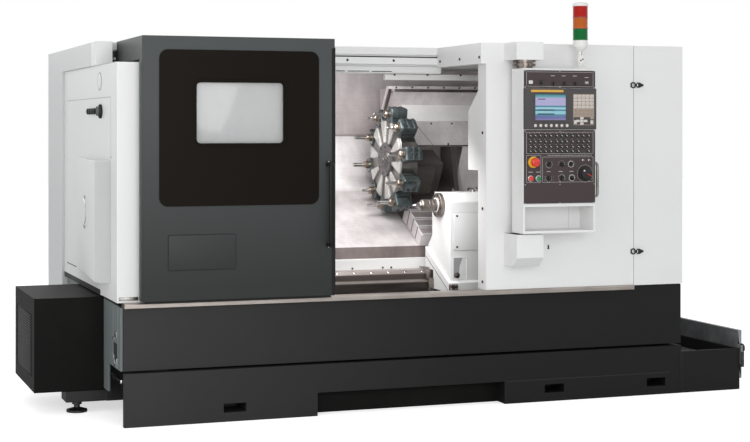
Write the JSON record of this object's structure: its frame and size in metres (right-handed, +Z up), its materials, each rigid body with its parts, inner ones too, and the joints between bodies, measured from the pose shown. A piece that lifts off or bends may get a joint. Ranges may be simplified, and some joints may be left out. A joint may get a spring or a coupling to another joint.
{
  "type": "cnc lathe",
  "caption": "Slant-bed turning centre with sliding door, tool turret, tailstock, swivelling control pendant, signal lamps and coolant tank.",
  "frame": {"origin": "middle of the coolant tank's underside, on the floor", "axes": "+X to the operator's right along the spindle, +Y away from the operator, +Z up"},
  "size_m": [3.9763, 2.2423, 2.1695],
  "materials": {
    "charcoal_paint": "satin fine-textured charcoal enamel",
    "white_paint": "satin off-white enamel on folded sheet",
    "grey_primer": "matt grey-green primer",
    "black_box": "black powder coat",
    "stainless": "brushed stainless sheet with soft mottling",
    "steel": "ground and machined steel",
    "cast_dark": "dark painted casting",
    "black_gloss": "gloss black film",
    "black_plastic": "black moulded plastic",
    "window_glass": "laminated safety glass",
    "panel_plastic": "dark brown-grey overlay",
    "yellow_plastic": "yellow collar with a red mushroom head",
    "white_plastic": "white moulded plastic",
    "green_lens": "ribbed green lens",
    "amber_lens": "ribbed amber lens",
    "red_lens": "ribbed red lens"
  },
  "bodies": {
    "machine": {"coolant_tank": "charcoal_paint", "chip_tray": "charcoal_paint", "tray_end_wall": "charcoal_paint", "front_panel": "charcoal_paint", "base_casting": "charcoal_paint", "headstock_cover": "white_paint", "headstock_side_door": "white_paint", "rear_housing": "white_paint", "header_rail": "white_paint", "right_cabinet": "white_paint", "end_cabinet": "white_paint", "bed_front": "white_paint", "pendant_hood": "white_paint", "pendant_bracket": "white_paint", "side_plate_left": "grey_primer", "coolant_chiller": "black_box", "chiller_grille": "black_box", "tray_screen": "stainless", "sill_rail": "stainless", "chamber_lining": "stainless", "spindle_wall": "stainless", "levelling_foot_front_left": "steel", "levelling_foot_rear_left": "steel", "levelling_foot_front_right": "steel", "levelling_foot_rear_right": "steel", "tailstock_rails": "steel", "chuck": "steel"},
    "main_door": {"door_shell": "charcoal_paint", "door_panel": "black_gloss", "door_window": "window_glass", "door_handle": "steel"},
    "service_door": {"access_door": "white_paint"},
    "pendant": {"pendant_shell": "white_paint", "control_panel": "panel_plastic", "top_panel": "panel_plastic", "display_unit": "panel_plastic", "pendant_handle": "steel", "emergency_stop": "yellow_plastic", "signal_stem": "white_plastic", "green_lamp": "green_lens", "amber_lamp": "amber_lens", "red_lamp": "red_lens", "signal_cap": "white_plastic"},
    "handwheel": {"handwheel": "black_plastic"},
    "carriage": {"saddle": "cast_dark", "slide_cover": "stainless", "saddle_cover": "stainless"},
    "cross_slide": {"turret_slide": "cast_dark"},
    "turret": {"turret_disc": "steel"},
    "tailstock": {"tailstock_body": "white_paint"},
    "quill": {"tailstock_quill": "steel"}
  },
  "joints": [
    {"name": "main_door_slide", "type": "slide", "parent": "machine", "child": "main_door", "axis": [1, 0, 0], "range_m": [0, 0.85]},
    {"name": "service_door_hinge", "type": "hinge", "parent": "machine", "child": "service_door", "pos_m": [1.605, -0.221, 1.28], "axis": [0, 0, 1], "range_deg": [0, 100]},
    {"name": "pendant_swivel", "type": "hinge", "parent": "machine", "child": "pendant", "pos_m": [0.565, -0.31, 1.37], "axis": [0, 0, -1], "range_deg": [0, 90]},
    {"name": "handwheel_turn", "type": "hinge", "parent": "pendant", "child": "handwheel", "pos_m": [0.87, -0.4203, 1.2464], "axis": [0, 1, 0], "continuous": true},
    {"name": "carriage_travel", "type": "slide", "parent": "machine", "child": "carriage", "axis": [1, 0, 0], "range_m": [-0.65, 0]},
    {"name": "cross_slide_travel", "type": "slide", "parent": "carriage", "child": "cross_slide", "axis": [0, 0.8796, 0.4756], "range_m": [-0.12, 0.15]},
    {"name": "turret_index", "type": "hinge", "parent": "cross_slide", "child": "turret", "pos_m": [0.225, 0.8245, 1.2991], "axis": [1, 0, 0], "continuous": true},
    {"name": "tailstock_travel", "type": "slide", "parent": "machine", "child": "tailstock", "axis": [1, 0, 0], "range_m": [0, 0.3]},
    {"name": "quill_stroke", "type": "slide", "parent": "tailstock", "child": "quill", "axis": [1, 0, 0], "range_m": [0, 0.12]}
  ]
}
